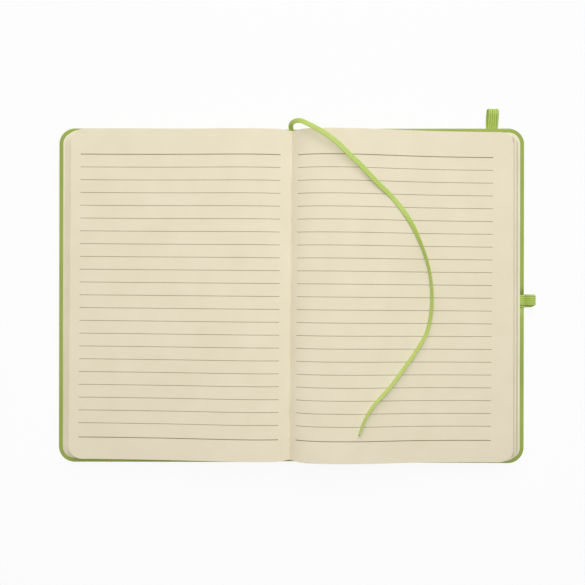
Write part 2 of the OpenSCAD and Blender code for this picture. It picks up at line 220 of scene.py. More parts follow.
# coated cloth: rounded pebbles from two sizes of cells, and a slow tone change
def makeClothGrain():
    group, start, end = effectGroup(
        "clothGrain", [("Vector", None), ("Pebble Scale", 1400.0)],
        [("Height", "NodeSocketFloat"), ("Tone", "NodeSocketFloat")])
    cells = group.nodes.new("ShaderNodeTexVoronoi")
    cells.feature = "SMOOTH_F1"
    cells.inputs["Smoothness"].default_value = 0.6
    wander = group.nodes.new("ShaderNodeTexNoise")
    wander.inputs["Scale"].default_value = 420.0
    wander.inputs["Detail"].default_value = 3.0
    tone = group.nodes.new("ShaderNodeTexNoise")
    tone.inputs["Scale"].default_value = 24.0
    tone.inputs["Detail"].default_value = 4.0
    for node in (cells, wander, tone):
        group.links.new(start.outputs["Vector"], node.inputs["Vector"])
    group.links.new(start.outputs["Pebble Scale"], cells.inputs["Scale"])
    height = mathNode(group, "MULTIPLY", cells.outputs["Distance"], wander.outputs["Fac"])
    group.links.new(height, end.inputs["Height"])
    group.links.new(tone.outputs["Fac"], end.inputs["Tone"])
    return group


# woven strip on its own UV map: u runs along in mm, v across in mm; its tone is painted shade,
# darker in the grooves between the ribs, with a random part from noise
def makeWovenStrip():
    group, start, end = effectGroup(
        "wovenStrip", [("Vector", None), ("Along Count", 2.4), ("Across Count", 2.0)],
        [("Height", "NodeSocketFloat"), ("Tone", "NodeSocketFloat")])
    parts = group.nodes.new("ShaderNodeSeparateXYZ")
    group.links.new(start.outputs["Vector"], parts.inputs["Vector"])
    turn = 2 * math.pi
    u = mathNode(group, "MULTIPLY", mathNode(group, "MULTIPLY", parts.outputs["X"],
                 start.outputs["Along Count"]), turn)
    v = mathNode(group, "MULTIPLY", mathNode(group, "MULTIPLY", parts.outputs["Y"],
                 start.outputs["Across Count"]), turn)
    weft = mathNode(group, "SINE", u)
    warp = mathNode(group, "COSINE", v)
    crossed = mathNode(group, "MULTIPLY", weft, warp)
    height = mathNode(group, "ADD", mathNode(group, "MULTIPLY", crossed, 0.35), warp)
    height = mathNode(group, "ADD", mathNode(group, "MULTIPLY", height, 0.35), 0.5)
    noise = group.nodes.new("ShaderNodeTexNoise")
    noise.inputs["Scale"].default_value = 0.8
    noise.inputs["Detail"].default_value = 3.0
    group.links.new(start.outputs["Vector"], noise.inputs["Vector"])
    # painted shade: the tone follows the weave's height, so the grooves come out darker
    tone = mathNode(group, "ADD", mathNode(group, "MULTIPLY", height, 0.6),
                    mathNode(group, "MULTIPLY", noise.outputs["Fac"], 0.4))
    group.links.new(height, end.inputs["Height"])
    group.links.new(tone, end.inputs["Tone"])
    return group


paperFibre = makePaperFibre()
clothGrain = makeClothGrain()
wovenStrip = makeWovenStrip()


# places a group in a material, fed by object coordinates or by the piece's own UV map
def placeGroup(tree, group, useUv=False, **values):
    node = tree.nodes.new("ShaderNodeGroup")
    node.node_tree = group
    where = tree.nodes.new("ShaderNodeUVMap" if useUv else "ShaderNodeTexCoord")
    tree.links.new(where.outputs["UV" if useUv else "Object"], node.inputs["Vector"])
    for label, value in values.items():
        node.inputs[label.replace("_", " ")].default_value = value
    return node


# base colour between two tones, driven by a mask
def twoTone(tree, shader, mask, low, high, lowAt=0.3, highAt=0.7):
    ramp = tree.nodes.new("ShaderNodeValToRGB")
    ramp.color_ramp.elements[0].position = lowAt
    ramp.color_ramp.elements[1].position = highAt
    ramp.color_ramp.elements[0].color = low
    ramp.color_ramp.elements[1].color = high
    tree.links.new(mask, ramp.inputs["Fac"])
    tree.links.new(ramp.outputs["Color"], shader.inputs["Base Color"])


def bump(tree, shader, height, strength, distance):
    node = tree.nodes.new("ShaderNodeBump")
    node.inputs["Strength"].default_value = strength
    node.inputs["Distance"].default_value = distance * mm
    tree.links.new(height, node.inputs["Height"])
    tree.links.new(node.outputs["Normal"], shader.inputs["Normal"])


def paperMaterial(name, low, high, roughness=0.85):
    material, tree, shader = nodeTree(name)
    fibre = placeGroup(tree, paperFibre)
    twoTone(tree, shader, fibre.outputs["Cloud"], low, high)
    bump(tree, shader, fibre.outputs["Fibre"], 0.25, 0.03)
    shader.inputs["Roughness"].default_value = roughness
    shader.inputs["Specular IOR Level"].default_value = 0.25
    return material


# painted shade: each leaf's margin is darkened in a strip just beyond the end of the section
# above it, by the attribute "shade"
def leafMaterial():
    material = paperMaterial("leafPaper", srgb(232, 222, 195), srgb(238, 229, 203))
    tree = material.node_tree
    shader = next(n for n in tree.nodes if n.type == "BSDF_PRINCIPLED")
    paper = shader.inputs["Base Color"].links[0].from_socket
    shade = tree.nodes.new("ShaderNodeAttribute")
    shade.attribute_name = "shade"
    mix = tree.nodes.new("ShaderNodeMix")
    mix.data_type = "RGBA"
    tree.links.new(shade.outputs["Fac"], mix.inputs["Factor"])
    tree.links.new(paper, mix.inputs["A"])
    # the colour of the painted shade
    mix.inputs["B"].default_value = srgb(150, 140, 116)
    tree.links.new(mix.outputs["Result"], shader.inputs["Base Color"])
    return material


def wovenMaterial(name, low, high, along, across, sheen, roughness, depth):
    material, tree, shader = nodeTree(name)
    weave = placeGroup(tree, wovenStrip, useUv=True, Along_Count=along, Across_Count=across)
    # low is painted shade for the weave's grooves, high the colour of the ribs
    twoTone(tree, shader, weave.outputs["Tone"], low, high, 0.25, 0.75)
    bump(tree, shader, weave.outputs["Height"], 0.5, depth)
    shader.inputs["Roughness"].default_value = roughness
    shader.inputs["Sheen Weight"].default_value = sheen
    return material


def clothMaterial():
    material, tree, shader = nodeTree("coverCloth")
    grain = placeGroup(tree, clothGrain)
    twoTone(tree, shader, grain.outputs["Tone"], srgb(142, 160, 66), srgb(158, 176, 80))
    bump(tree, shader, grain.outputs["Height"], 0.35, 0.06)
    shader.inputs["Roughness"].default_value = 0.52
    shader.inputs["Specular IOR Level"].default_value = 0.4
    return material


finish = {
    "page": paperMaterial("writingPaper", srgb(233, 223, 196), srgb(237, 227, 201)),
    "leaves": leafMaterial(),
    "endpaper": paperMaterial("endPaper", srgb(233, 224, 200), srgb(240, 232, 210)),
    "ink": paperMaterial("lineInk", srgb(134, 123, 98), srgb(152, 140, 114), 0.7),
    "card": paperMaterial("greyCard", srgb(160, 154, 142), srgb(176, 170, 158), 0.9),
    "lining": paperMaterial("liningCloth", srgb(226, 222, 210), srgb(238, 234, 224), 0.95),
    "thread": paperMaterial("cottonThread", srgb(224, 216, 190), srgb(240, 234, 214), 0.8),
    "cloth": clothMaterial(),
    # ribbon and elastic: their darker colour is the painted shade of the weave's grooves
    "ribbon": wovenMaterial("ribbonSatin", srgb(172, 196, 84), srgb(192, 216, 106),
                            4.0, 5.0, 0.3, 0.42, 0.03),
    "elastic": wovenMaterial("elasticWeb", srgb(132, 158, 56), srgb(196, 220, 106),
                             2.2, 5 / 6.8, 0.3, 0.75, 0.12),
}
print("materials made:", len(finish))

# camera: straight above, where the line spacing says it stood
view = {
    "height": 453.2,       # mm above the table
    "overX": 0.9,
    "overY": 1.85,
    "lens": 43.75,
    "roll": 0.10,          # degrees, clockwise
}
cameraData = bpy.data.cameras.new("photoCamera")
cameraData.lens = view["lens"]
cameraData.sensor_width = 36.0
cameraData.clip_start = 0.01
cameraData.clip_end = 20.0
camera = bpy.data.objects.new("photoCamera", cameraData)
camera.location = (view["overX"] * mm, view["overY"] * mm, view["height"] * mm)
camera.rotation_euler = (0.0, 0.0, math.radians(view["roll"]))
bpy.context.scene.collection.objects.link(camera)
bpy.context.scene.camera = camera

# pages: sizes in mm, side -1 is the left of the opening and 1 the right
block = {
    "height": 206.6,
    "topReach": 138.45,
    "flatWidth": 14.0,
    "cornerRadius": 8.5,
    "sectionThick": 0.74,
    "leavesPerSection": 8,
    "leafThick": 0.084,
    "footX": 2.4,
    "foldThick": 1.3,
    "airShare": 0.6,
    "seatGap": 0.02,
    "skew": 0.4,
    "runOut": 0.0075,
    "cockle": 0.06,        # slow swellings of the top leaf
    "foldDraw": 0.7,       # head and tail drawn in at the fold
}
# shade: how dark the painted shade beside each section's step is, on each side
sides = {
    -1: {"sections": 7, "wave": 6.0, "rise": 9.0, "half": 65.07, "power": 3,
         "fan": 0.8, "shade": 0.08,
         "ends": [143.8, 143.0, 142.1, 141.3, 140.3, 139.6, 138.45]},
    1: {"sections": 5, "wave": 10.6, "rise": 7.5, "half": 67.84, "power": 4,
        "fan": 0.1, "shade": 0.5,
        "ends": [142.4, 141.2, 141.0, 138.6, 138.45]},
}
pageBase = caseTop + 2 * case["paperThick"] + block["seatGap"]
flatX = block["topReach"] - block["flatWidth"]


# wave height: a rise 1 - exp(-(d + 2) / rise) times a fall 1 / (1 + (d / half)^power)
def waveHeight(side, d):
    s = sides[side]
    fall = 1 / (1 + (d / s["half"]) ** s["power"])
    end = 1 / (1 + (flatX / s["half"]) ** s["power"])
    return s["wave"] * (1 - np.exp(-(d + 2) / s["rise"])) * np.maximum(0, fall - end)


def floorHeight(side, d):
    return pageBase + (np.maximum(0, d - hingeX) * math.tan(leanAngle) if side > 0 else 0)


gutterHeight = max(s["sections"] * block["sectionThick"] + float(waveHeight(side, 0.0))
                   for side, s in sides.items())
archHeight = gutterHeight - block["foldThick"]


# top leaf: floor, stack and wave, drawn down to the crease by exp(-d / 3)
def topHeight(side, d):
    stack = sides[side]["sections"] * block["sectionThick"]
    atCrease = stack + float(waveHeight(side, 0.0))
    return (floorHeight(side, d) + stack + waveHeight(side, d)
            + (gutterHeight - atCrease) * np.exp(-d / 3))


# slow swellings of the top leaf, never below the leaf under it, none at the gutter
def cockle(side, d, y):
    w = (1.6 + np.sin(y / 31 + side) * np.sin(d / 23 + 1.3)
         + 0.6 * np.sin(y / 17 - d / 29 + 2 * side))
    return block["cockle"] * w * smoothStep(4, 40, d)


# from the pages' own frame to the row frame: the right fore-edge runs out a little
# towards the tail, then a small turn about the upright
def skewPages(points):
    p = np.array(points, dtype=float)
    p[..., 0] += block["runOut"] * (80 - p[..., 1]) * smoothStep(128, 138, p[..., 0])
    a = -math.radians(block["skew"])
    x, y = p[..., 0].copy(), p[..., 1].copy()
    p[..., 0], p[..., 1] = math.cos(a) * x - math.sin(a) * y, math.sin(a) * x + math.cos(a) * y
    return p


# half height of a leaf at distance d: drawn in a little by the sewing near the fold,
# straight, then a quarter circle at the corner
def leafHalf(d, end, half):
    r = block["cornerRadius"]
    over = np.clip(d - (end - r), 0, r)
    return half - r + np.sqrt(r * r - over * over) - block["foldDraw"] * np.exp(-(d / 5) ** 2)


# stations from start to end, close together at the gutter and in the corner
def leafStations(start, end, run, corner):
    r = block["cornerRadius"]
    straight = start + (end - r - start) * np.linspace(0, 1, run) ** 1.5
    bend = end - r + r * np.sin(np.linspace(0, math.pi / 2, corner))[1:]
    return np.concatenate([straight, bend])


# every leaf under the top ones: between the lower and the upper face of its section;
# fan is the share of the step to the next section that a section's own leaves take up
def makeLeafBlock():
    run, corner = 44, 12
    points, faces, shades = [], [], []
    rng = np.random.default_rng(5)
    count = run + corner - 1
    quads = gridQuads(count, 4, closeColumns=True)
    half = block["height"] / 2
    for side, s in sides.items():
        n = s["sections"]
        for k in range(n):
            for i in range(block["leavesPerSection"]):
                share = (i + 1) / block["leavesPerSection"]
                if k == n - 1 and i == block["leavesPerSection"] - 1:
                    continue
                angle = math.pi / 2 * (k + share) / n
                startX, startZ = block["footX"] * math.cos(angle), archHeight * math.sin(angle)
                step = s["ends"][k] - s["ends"][min(k + 1, n - 1)]
                end = s["ends"][k] - s["fan"] * share * step - rng.uniform(0, 0.08)
                d = leafStations(startX, end, run, corner)
                wave = waveHeight(side, d)
                air = 1.0 if k == n - 1 else block["airShare"]
                z = (k + share) * block["sectionThick"] + wave * (k + air * share) / n
                z += (startZ - z[0]) * np.exp(-(d - startX) / 3)
                z += floorHeight(side, d)
                inset = (0.0 if k % 2 == 0 else 0.14) + rng.uniform(0, 0.06)
                y = leafHalf(d, end, half) - inset
                x = side * d
                low = z - block["leafThick"]
                ring = np.stack([np.stack([x, y, z], -1), np.stack([x, -y, z], -1),
                                 np.stack([x, -y, low], -1), np.stack([x, y, low], -1)], 1)
                base = 4 * count * len(points)
                points.append(ring)
                # painted shade: a dark strip on the leaf just beyond where the section above it
                # ends
                covered = d - s["ends"][min(k + 1, n - 1)]
                shades.append(np.repeat(s["shade"] * smoothStep(-0.4, 0, covered)
                                        * (1 - smoothStep(0.3, 1.3, covered)), 4))
                own = quads if side > 0 else quads[:, ::-1]
                faces.append(own + base)
                caps = np.array([[0, 1, 2, 3], [4 * count - 1, 4 * count - 2, 4 * count - 3,
                                                4 * count - 4]])
                faces.append((caps if side > 0 else caps[:, ::-1]) + base)
    flat = skewPages(np.concatenate(points).reshape(-1, 3))
    allFaces = np.concatenate(faces)
    return flat, allFaces, np.concatenate(shades)


# the glued folds: an arch of constant thickness from foot to foot
def makeFoldArch():
    a = np.linspace(0, math.pi, 48)
    half = block["height"] / 2 - 0.8
    inner, outer = [np.stack([(block["footX"] + grow) * np.cos(a),
                              pageBase + (archHeight + grow) * np.sin(a)], -1)
                    for grow in (-0.05, 0.6)]
    corners = [(inner, half), (outer, half), (outer, -half), (inner, -half)]
    ring = np.stack([np.stack([c[:, 0], np.full(len(a), y), c[:, 1]], -1) for c, y in corners], 1)
    n = len(a)
    faces = np.concatenate([gridQuads(n, 4, closeColumns=True)[:, ::-1],
                            [[3, 2, 1, 0], [4 * n - 4, 4 * n - 3, 4 * n - 2, 4 * n - 1]]])
    return skewPages(ring.reshape(-1, 3)), faces


leafPoints, leafFaces, leafShades = makeLeafBlock()
archPoints, archFaces = makeFoldArch()
leafBlock = meshObject(
    "leafBlock", np.concatenate([leafPoints, archPoints]),
    np.concatenate([leafFaces, archFaces + len(leafPoints)]),
    finish["leaves"], "book", ["pages"], smooth=False)
# the painted shade of each point, none on the folds' arch
shadeLayer = leafBlock.data.attributes.new("shade", "FLOAT", "POINT")
shadeLayer.data.foreach_set("value", np.concatenate([leafShades, np.zeros(len(archPoints))]))


# top leaf of one side: stations across the page and rows from tail to head
def makeTopLeaf(side, name):
    end = block["topReach"]
    d = leafStations(0.0, end, 130, 16)
    rows = np.concatenate([[-1], np.linspace(-0.9988, 0.9988, 72), [1]])
    y = leafHalf(d, end, block["height"] / 2)[:, None] * rows[None, :]
    dd = np.repeat(d[:, None], len(rows), axis=1)
    z = topHeight(side, dd) + cockle(side, dd, y)
    points = skewPages(np.stack([side * dd, y, z], -1).reshape(-1, 3))
    quads = gridQuads(len(d), len(rows))
    piece = meshObject(name, points, quads if side > 0 else quads[:, ::-1],
                       finish["page"], "book")
    shell = piece.modifiers.new("leafThickness", "SOLIDIFY")
    shell.thickness = 0.08 * mm
    shell.offset = -1.0
    return piece


makeTopLeaf(-1, "topLeafLeft")
makeTopLeaf(1, "topLeafRight")

# ruled lines: thin printed strips a hair above the top leaf
ruling = {
    "pitch": 8.0,
    "lastPitch": 8.9,
    "count": 23,
    "width": 0.3,
    "heavyWidth": 0.5,
    "headMargin": 16.0,
    "gutterMargin": {-1: 7.2, 1: 3.6},
    "foreMargin": {-1: 6.2, 1: 12.8},
    "lift": 0.03,
}


# one strip per line: stations along the page, and its two edges
def makeRuling(side, name, node):
    start = ruling["gutterMargin"][side]
    end = block["topReach"] - ruling["foreMargin"][side]
    d = start + (end - start) * np.linspace(0, 1, 150) ** 1.25
    points, faces = [], []
    quads = gridQuads(len(d), 2)
    for n in range(ruling["count"]):
        heavy = n in (0, ruling["count"] - 1)
        width = ruling["heavyWidth"] if heavy else ruling["width"]
        y = block["height"] / 2 - ruling["headMargin"] - n * ruling["pitch"]
        if n == ruling["count"] - 1:
            y -= ruling["lastPitch"] - ruling["pitch"]
        edges = [y - width / 2, y + width / 2]
        strip = np.stack([np.stack([side * d, np.full(len(d), e),
                                    topHeight(side, d) + cockle(side, d, e) + ruling["lift"]], -1)
                          for e in edges], 1)
        faces.append((quads if side > 0 else quads[:, ::-1]) + n * 2 * len(d))
        points.append(strip.reshape(-1, 3))
    return meshObject(name, skewPages(np.concatenate(points)), np.concatenate(faces),
                      finish["ink"], "book", [node])


makeRuling(-1, "ruledLinesLeft", "ruling_left")
makeRuling(1, "ruledLinesRight", "ruling_right")
print("pages made:", len(leafFaces), "leaf faces")

# cloth on the covers, the joints and the spine; the pen loop comes in through a notch
penNotch = {"low": -7.45, "high": 0.95, "depth": 12.6, "floor": 1.3}
innerRow = 1.2             # mm from the head and tail, first row inside the round


# the joint is pressed in from outside: a smooth hump centred on the hinge line
def grooveHeight(x):
    return case["grooveDepth"] * (1 - smoothStep(0.4, 2.7, np.abs(np.abs(x) - hingeX)))


# distance from a rounded rectangle's edge, inside counted up from 0
def edgeDistance(x, y, half, r):
    qx, qy = x - (coverX - r), np.abs(y) - (half - r)
    outside = np.hypot(np.maximum(qx, 0), np.maximum(qy, 0))
    return r - outside - np.minimum(np.maximum(qx, qy), 0)


# height drop of a quarter-round edge of radius r at distance e
def roundDrop(e, r):
    t = np.clip(r - e, 0, r)
    return r - np.sqrt(r * r - t * t)


# distances from an edge at which a quarter round of radius r is cut
def roundSteps(r):
    return r * (1 - np.cos(np.linspace(0, math.pi / 2, 7)))


# the cloth's own thickness, grown inward
def thickenCloth(piece):
    shell = piece.modifiers.new("clothThickness", "SOLIDIFY")
    shell.thickness = case["shellThick"] * mm
    shell.offset = -1.0


# walls from the upper to the lower points along the first and the last column of a grid
def endWalls(nx, ny):
    index = np.arange(nx * ny).reshape(nx, ny)
    walls = []
    for edge, flip in ((index[:, 0], False), (index[:, -1], True)):
        wall = np.stack([edge[:-1], edge[1:], edge[1:] + nx * ny, edge[:-1] + nx * ny], -1)
        walls.append(wall if flip else wall[:, ::-1])
    return walls


# all the cut points of several lists, in order and each once
def cutList(*parts):
    return np.unique(np.concatenate([np.atleast_1d(p) for p in parts]).round(4))


# level of the turned-in cloth's face, without the round at the head and tail
def coverLevel(x):
    thin = grooveHeight(x) + case["skinThick"] + case["turnThick"]
    return thin + (caseTop - thin) * smoothStep(boardX - 1.2, boardX + 0.1, x)


def spineLevel(x):
    thin = grooveHeight(x) + case["skinThick"] + case["turnThick"]
    full = case["skinThick"] + case["stripThick"] + case["turnThick"]
    stripX = case["spineWidth"] / 2
    return full + (thin - full) * smoothStep(stripX - 0.1, stripX + 1.2, np.abs(x))


# a cover's cloth as two height fields, outside and turned-in, joined round the edge
def makeCoverCloth(side, name, node, body):
    half, r, er = case["coverHeight"] / 2, case["cornerRadius"], case["edgeRound"]
    start = hingeX + case["jointReach"]
    fringe = roundSteps(er)
    inFrom = [1.4, 2.8, 5.0, case["turnWidth"]]
    bend = coverX - r * (1 - np.sin(np.linspace(0, math.pi / 2, 16)))
    x = cutList(np.linspace(start, boardX + 1.5, 14), np.linspace(boardX + 1.5, coverX - r, 24),
                bend, coverX - fringe, coverX - np.array(inFrom))
    notch = [penNotch[k] + o for k in ("low", "high") for o in (-0.04, 0.04)]
    y = cutList(np.linspace(-half + 5, half - 5, 31), notch,
                *[[s * (half - f) for f in list(fringe) + inFrom] for s in (-1, 1)])
    xx, yy = np.meshgrid(x, y, indexing="ij")
    yHalf = half - r + np.sqrt(r * r - np.clip(xx - (coverX - r), 0, r) ** 2)
    squeeze = np.where(np.abs(yy) > half - 2 * r,
                       1 - (half - yHalf) / (2 * r), 1)
    inner = half - 2 * r
    yy = np.where(np.abs(yy) > inner, np.sign(yy) * (inner + (np.abs(yy) - inner) * squeeze), yy)
    e = np.maximum(0, edgeDistance(xx, yy, half, r))
    drop = roundDrop(e, er)
    high = coverLevel(xx) - drop
    if side > 0:
        inNotch = ((yy > penNotch["low"]) & (yy < penNotch["high"])
                   & (xx > coverX - penNotch["depth"]))
        high = np.where(inNotch, np.minimum(high, penNotch["floor"]), high)
    low = grooveHeight(xx) + drop
    top = np.stack([xx, yy, high], -1).reshape(-1, 3)
    bottom = np.stack([xx, yy, low], -1).reshape(-1, 3)
    nx, ny = len(x), len(y)
    quads = gridQuads(nx, ny)
    middle = top[quads].mean(axis=1)
    turned = ((coverX - middle[:, 0] < case["turnWidth"])
              | (half - np.abs(middle[:, 1]) < case["turnWidth"]))
    index = np.arange(nx * ny).reshape(nx, ny)
    rim = np.concatenate([index[:, 0], index[-1, 1:], index[:-1, -1][::-1]])
    wall = np.stack([rim[:-1], rim[1:], rim[1:] + nx * ny, rim[:-1] + nx * ny], -1)
    faces = np.concatenate([quads[turned], quads[:, ::-1] + nx * ny, wall[:, ::-1]])
    points = np.concatenate([top, bottom])
    if side > 0:
        points = leanBack(points)
    else:
        points[:, 0] *= -1
        faces = faces[:, ::-1]
    piece = meshObject(name, points, faces, finish["cloth"], body, [node])
    thickenCloth(piece)
    return piece


# the spine's cloth: the same two height fields, with round ends only
def makeSpineCloth():
    half, er = case["coverHeight"] / 2 - case["spineBack"], case["spineRound"]
    end = hingeX - case["jointReach"]
    fringe = roundSteps(er)
    x = np.linspace(-end, end, 49)
    inset = list(fringe) + [innerRow, case["turnWidth"]]
    y = cutList(np.linspace(-half + 2, half - 2, 41),
                *[[s * (half - f) for f in inset] for s in (-1, 1)])
    xx, yy = np.meshgrid(x, y, indexing="ij")
    drop = roundDrop(half - np.abs(yy), er)
    high = spineLevel(xx) - drop
    low = grooveHeight(xx) + drop * 0.9
    top = np.stack([xx, yy, high], -1).reshape(-1, 3)
    bottom = np.stack([xx, yy, low], -1).reshape(-1, 3)
    nx, ny = len(x), len(y)
    quads = gridQuads(nx, ny)
    turned = half - np.abs(top[quads].mean(axis=1)[:, 1]) < case["turnWidth"]
    faces = np.concatenate([quads[turned], quads[:, ::-1] + nx * ny] + endWalls(nx, ny))
    piece = meshObject("spineCloth", np.concatenate([top, bottom]), faces, finish["cloth"],
                       "book", ["spine_skin"])
    thickenCloth(piece)
    return piece


# the cloth over a joint, bending between the spine and the cover
def makeJointCloth(side, name):
    reach = case["jointReach"]
    x = np.linspace(hingeX - reach - 0.05, hingeX + reach + 0.05, 25)
    t = smoothStep(hingeX - reach, hingeX + reach, x)[:, None]
    half = case["coverHeight"] / 2 - case["spineBack"] * (1 - t)
    er = case["spineRound"] + (case["edgeRound"] - case["spineRound"]) * t
    middle = np.linspace(-1, 1, 41)[None, :]
    turnEdge = half - case["turnWidth"]
    rows = [er * step for step in roundSteps(1.0)] + [innerRow + 0 * t]
    y = np.concatenate([-half + e for e in rows] + [middle * turnEdge]
                       + [half - e for e in rows[::-1]], axis=1)
    xx = np.repeat(x[:, None], y.shape[1], axis=1)
    drop = roundDrop(half - np.abs(y), er)
    high = np.where(xx < hingeX, spineLevel(xx), coverLevel(xx)) - drop
    low = grooveHeight(xx) + drop * (0.9 + 0.1 * t)
    top = np.stack([xx, y, high], -1).reshape(-1, 3)
    bottom = np.stack([xx, y, low], -1).reshape(-1, 3)
    nx, ny = y.shape
    quads = gridQuads(nx, ny)
    turned = np.abs(top[quads].mean(axis=1)[:, 1]) > float(turnEdge.min()) - 0.2
    faces = np.concatenate([quads[turned], quads[:, ::-1] + nx * ny] + endWalls(nx, ny))
    points = np.concatenate([top, bottom])
    if side > 0:
        points = np.where(points[:, :1] > hingeX, leanBack(points), points)
    else:
        points[:, 0] *= -1
        faces = faces[:, ::-1]
    piece = meshObject(name, points, faces, finish["cloth"], None)
    thickenCloth(piece)
    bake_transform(piece)
    return piece


makeCoverCloth(-1, "frontCoverCloth", "front_cover_skin", "front_cover")
makeCoverCloth(1, "backCoverCloth", "back_cover_skin", "back_cover")
makeSpineCloth()
makeJointCloth(-1, "frontJointCloth")
makeJointCloth(1, "backJointCloth")
print("cloth made")


# a strip's own UV map: u along and v across, both in mm
def giveStripUv(piece, rings, sides, path, width, profile):
    run = np.concatenate([[0], np.cumsum(np.linalg.norm(np.diff(path, axis=0), axis=1))])
    u = np.repeat(run, sides)
    v = np.tile(profile[:, 0], rings)
    mesh = piece.data
    layer = mesh.uv_layers.new(name="UVMap")
    corner = np.empty(len(mesh.loops), dtype=np.int64)
    mesh.loops.foreach_get("vertex_index", corner)
    layer.data.foreach_set("uv", np.stack([u[corner], v[corner]], -1).ravel())


# a ribbed section of webbing: thickness swells over each cord, round at the two edges
def webbingProfile(width, thick, ribs, depth):
    v = np.linspace(-1, 1, ribs * 8 + 1)
    body = thick / 2 - depth + depth * np.abs(np.cos(v * ribs * math.pi / 2))
    edge = np.sqrt(np.clip(1 - np.maximum(0, (np.abs(v) - 0.94) / 0.06) ** 2, 0.04, 1))
    t = body * edge
    up = np.stack([v * width / 2, t], -1)
    down = np.stack([v[::-1] * width / 2, -t[::-1]], -1)
    return np.concatenate([up, down])


# closing band: glued in through two slots of the back cover, and looped round its head
band = {
    "width": 6.8,
    "slotInset": 17.0,
    "slack": 13.0,
    "tailLength": 15.0,
    "bendRadius": 0.75,
    "tipRadius": 1.3,
    "lowShift": 0.8,
}


# n points on an arc in the upright plane, angles in degrees
def arcPoints(cy, cz, r, a0, a1, n):
    a = np.radians(np.linspace(a0, a1, n))
    return np.stack([cy + r * np.cos(a), cz + r * np.sin(a)], -1)


def makeBand():
    t = case["bandThick"]
    half = case["coverHeight"] / 2
    slotY = half - band["slotInset"]
    lift = (bandX - hingeX) * math.tan(leanAngle)
    tuck = lift + case["skinThick"] + case["boardThick"] - t / 2 - 0.15
    low, high = t / 2 + 0.01, 1.5 * t - 0.03
    r, tip = band["bendRadius"], half + band["slack"]
    path = np.concatenate([
        [[slotY - band["tailLength"], tuck], [slotY - r - 0.6, tuck]],
        arcPoints(slotY - r, tuck - r, r, 90, 0, 6),
        arcPoints(slotY + r, high + r, r, 180, 270, 6),
        [[half - 4, high], [half + 2, high + 0.1], [tip - 7, high + 1.1]],
        arcPoints(tip - band["tipRadius"] - t / 2, low + band["tipRadius"], band["tipRadius"],
                  84, -90, 10),
        [[tip - 7, low], [half, low], [60, low], [0, low], [-60, low], [-slotY + 12, low],
         [-slotY + 5, low + 0.12]],
        arcPoints(-slotY + r, high + r, r, 270, 180, 6),
        arcPoints(-slotY + r, tuck - r, r, 180, 90, 6),
        [[-slotY + r + 0.6, tuck], [-slotY + band["tailLength"], tuck]]])
    run = np.concatenate([[0], np.cumsum(np.linalg.norm(np.diff(path, axis=0), axis=1))])
    returned = (run > run[20]) & (run < run[-14])
    shift = np.where(returned, -band["lowShift"] * np.clip((path[:, 0] + slotY) / 20, 0, 1)
                     * np.clip((tip + 1 - path[:, 0]) / 6, 0, 1), 0)
    line = np.stack([bandX + shift, path[:, 0], path[:, 1]], -1)
    line = smoothPath(line, 0.5)
    profile = webbingProfile(band["width"], t, 5, 0.12)
    rings = carriedStrip(line, np.array([1.0, 0, 0]), profile)
    piece = meshObject("closingBand", rings.reshape(-1, 3), stripFaces(len(line), len(profile)),
                       finish["elastic"], "back_cover", ["elastic_band"])
    giveStripUv(piece, len(line), len(profile), line, band["width"], profile)
    return piece


makeBand()

# pen loop: both ends are glued in at the back cover's fore-edge
penLoop = {"width": 6.7, "out": 7.2, "start": 0.25, "drop": 2.5, "shift": 1.5, "tuck": 12.5,
           "swell": 4.4, "pinch": 0.16}


# teardrop path: x = -cos a, z = sin a * |sin a/2|, pinched where both ends go in
def makePenLoop():
    t = case["bandThick"]
    level = caseTop - t - 0.1
    apart = t / 2 + 0.04
    rx = (penLoop["out"] - penLoop["start"] - t / 2) / 2
    a = np.radians(np.linspace(8, 352, 60))
    sign = np.where(a < math.pi, 1, -1)
    x = coverX + penLoop["start"] + rx - rx * np.cos(a)
    z = (level + penLoop["swell"] * np.sin(a) * np.abs(np.sin(a / 2))
         + sign * apart * np.abs(np.cos(a / 2)))
    y = -penLoop["drop"] - penLoop["shift"] * smoothStep(100, 270, np.degrees(a))
    inner = coverX - penLoop["tuck"]
    y1 = y[-1]
    line = np.concatenate([
        [[inner, y[0], level + apart], [coverX - 4, y[0], level + apart],
         [coverX - 1, y[0], level + apart]],
        np.stack([x, y, z], -1),
        [[coverX - 1, y1, level - apart], [coverX - 4, y1, level - apart],
         [inner, y1, level - apart]]])
    line = smoothPath(line, 0.3)
    profile = webbingProfile(penLoop["width"], t, 5, 0.12)
    rings = carriedStrip(line, np.array([0, 1.0, 0]), profile)
    tip = coverX + penLoop["out"]
    pinch = 1 - penLoop["pinch"] * smoothStep(tip - 2.4, tip, line[:, 0])[:, None]
    rings[:, :, 1] = line[:, 1:2] + (rings[:, :, 1] - line[:, 1:2]) * pinch
    points = leanBack(rings.reshape(-1, 3))
    piece = meshObject("penLoop", points, stripFaces(len(line), len(profile)),
                       finish["elastic"], "back_cover", ["pen_loop"])
    giveStripUv(piece, len(line), len(profile), line, penLoop["width"], profile)
    return piece


makePenLoop()
print("elastics made")

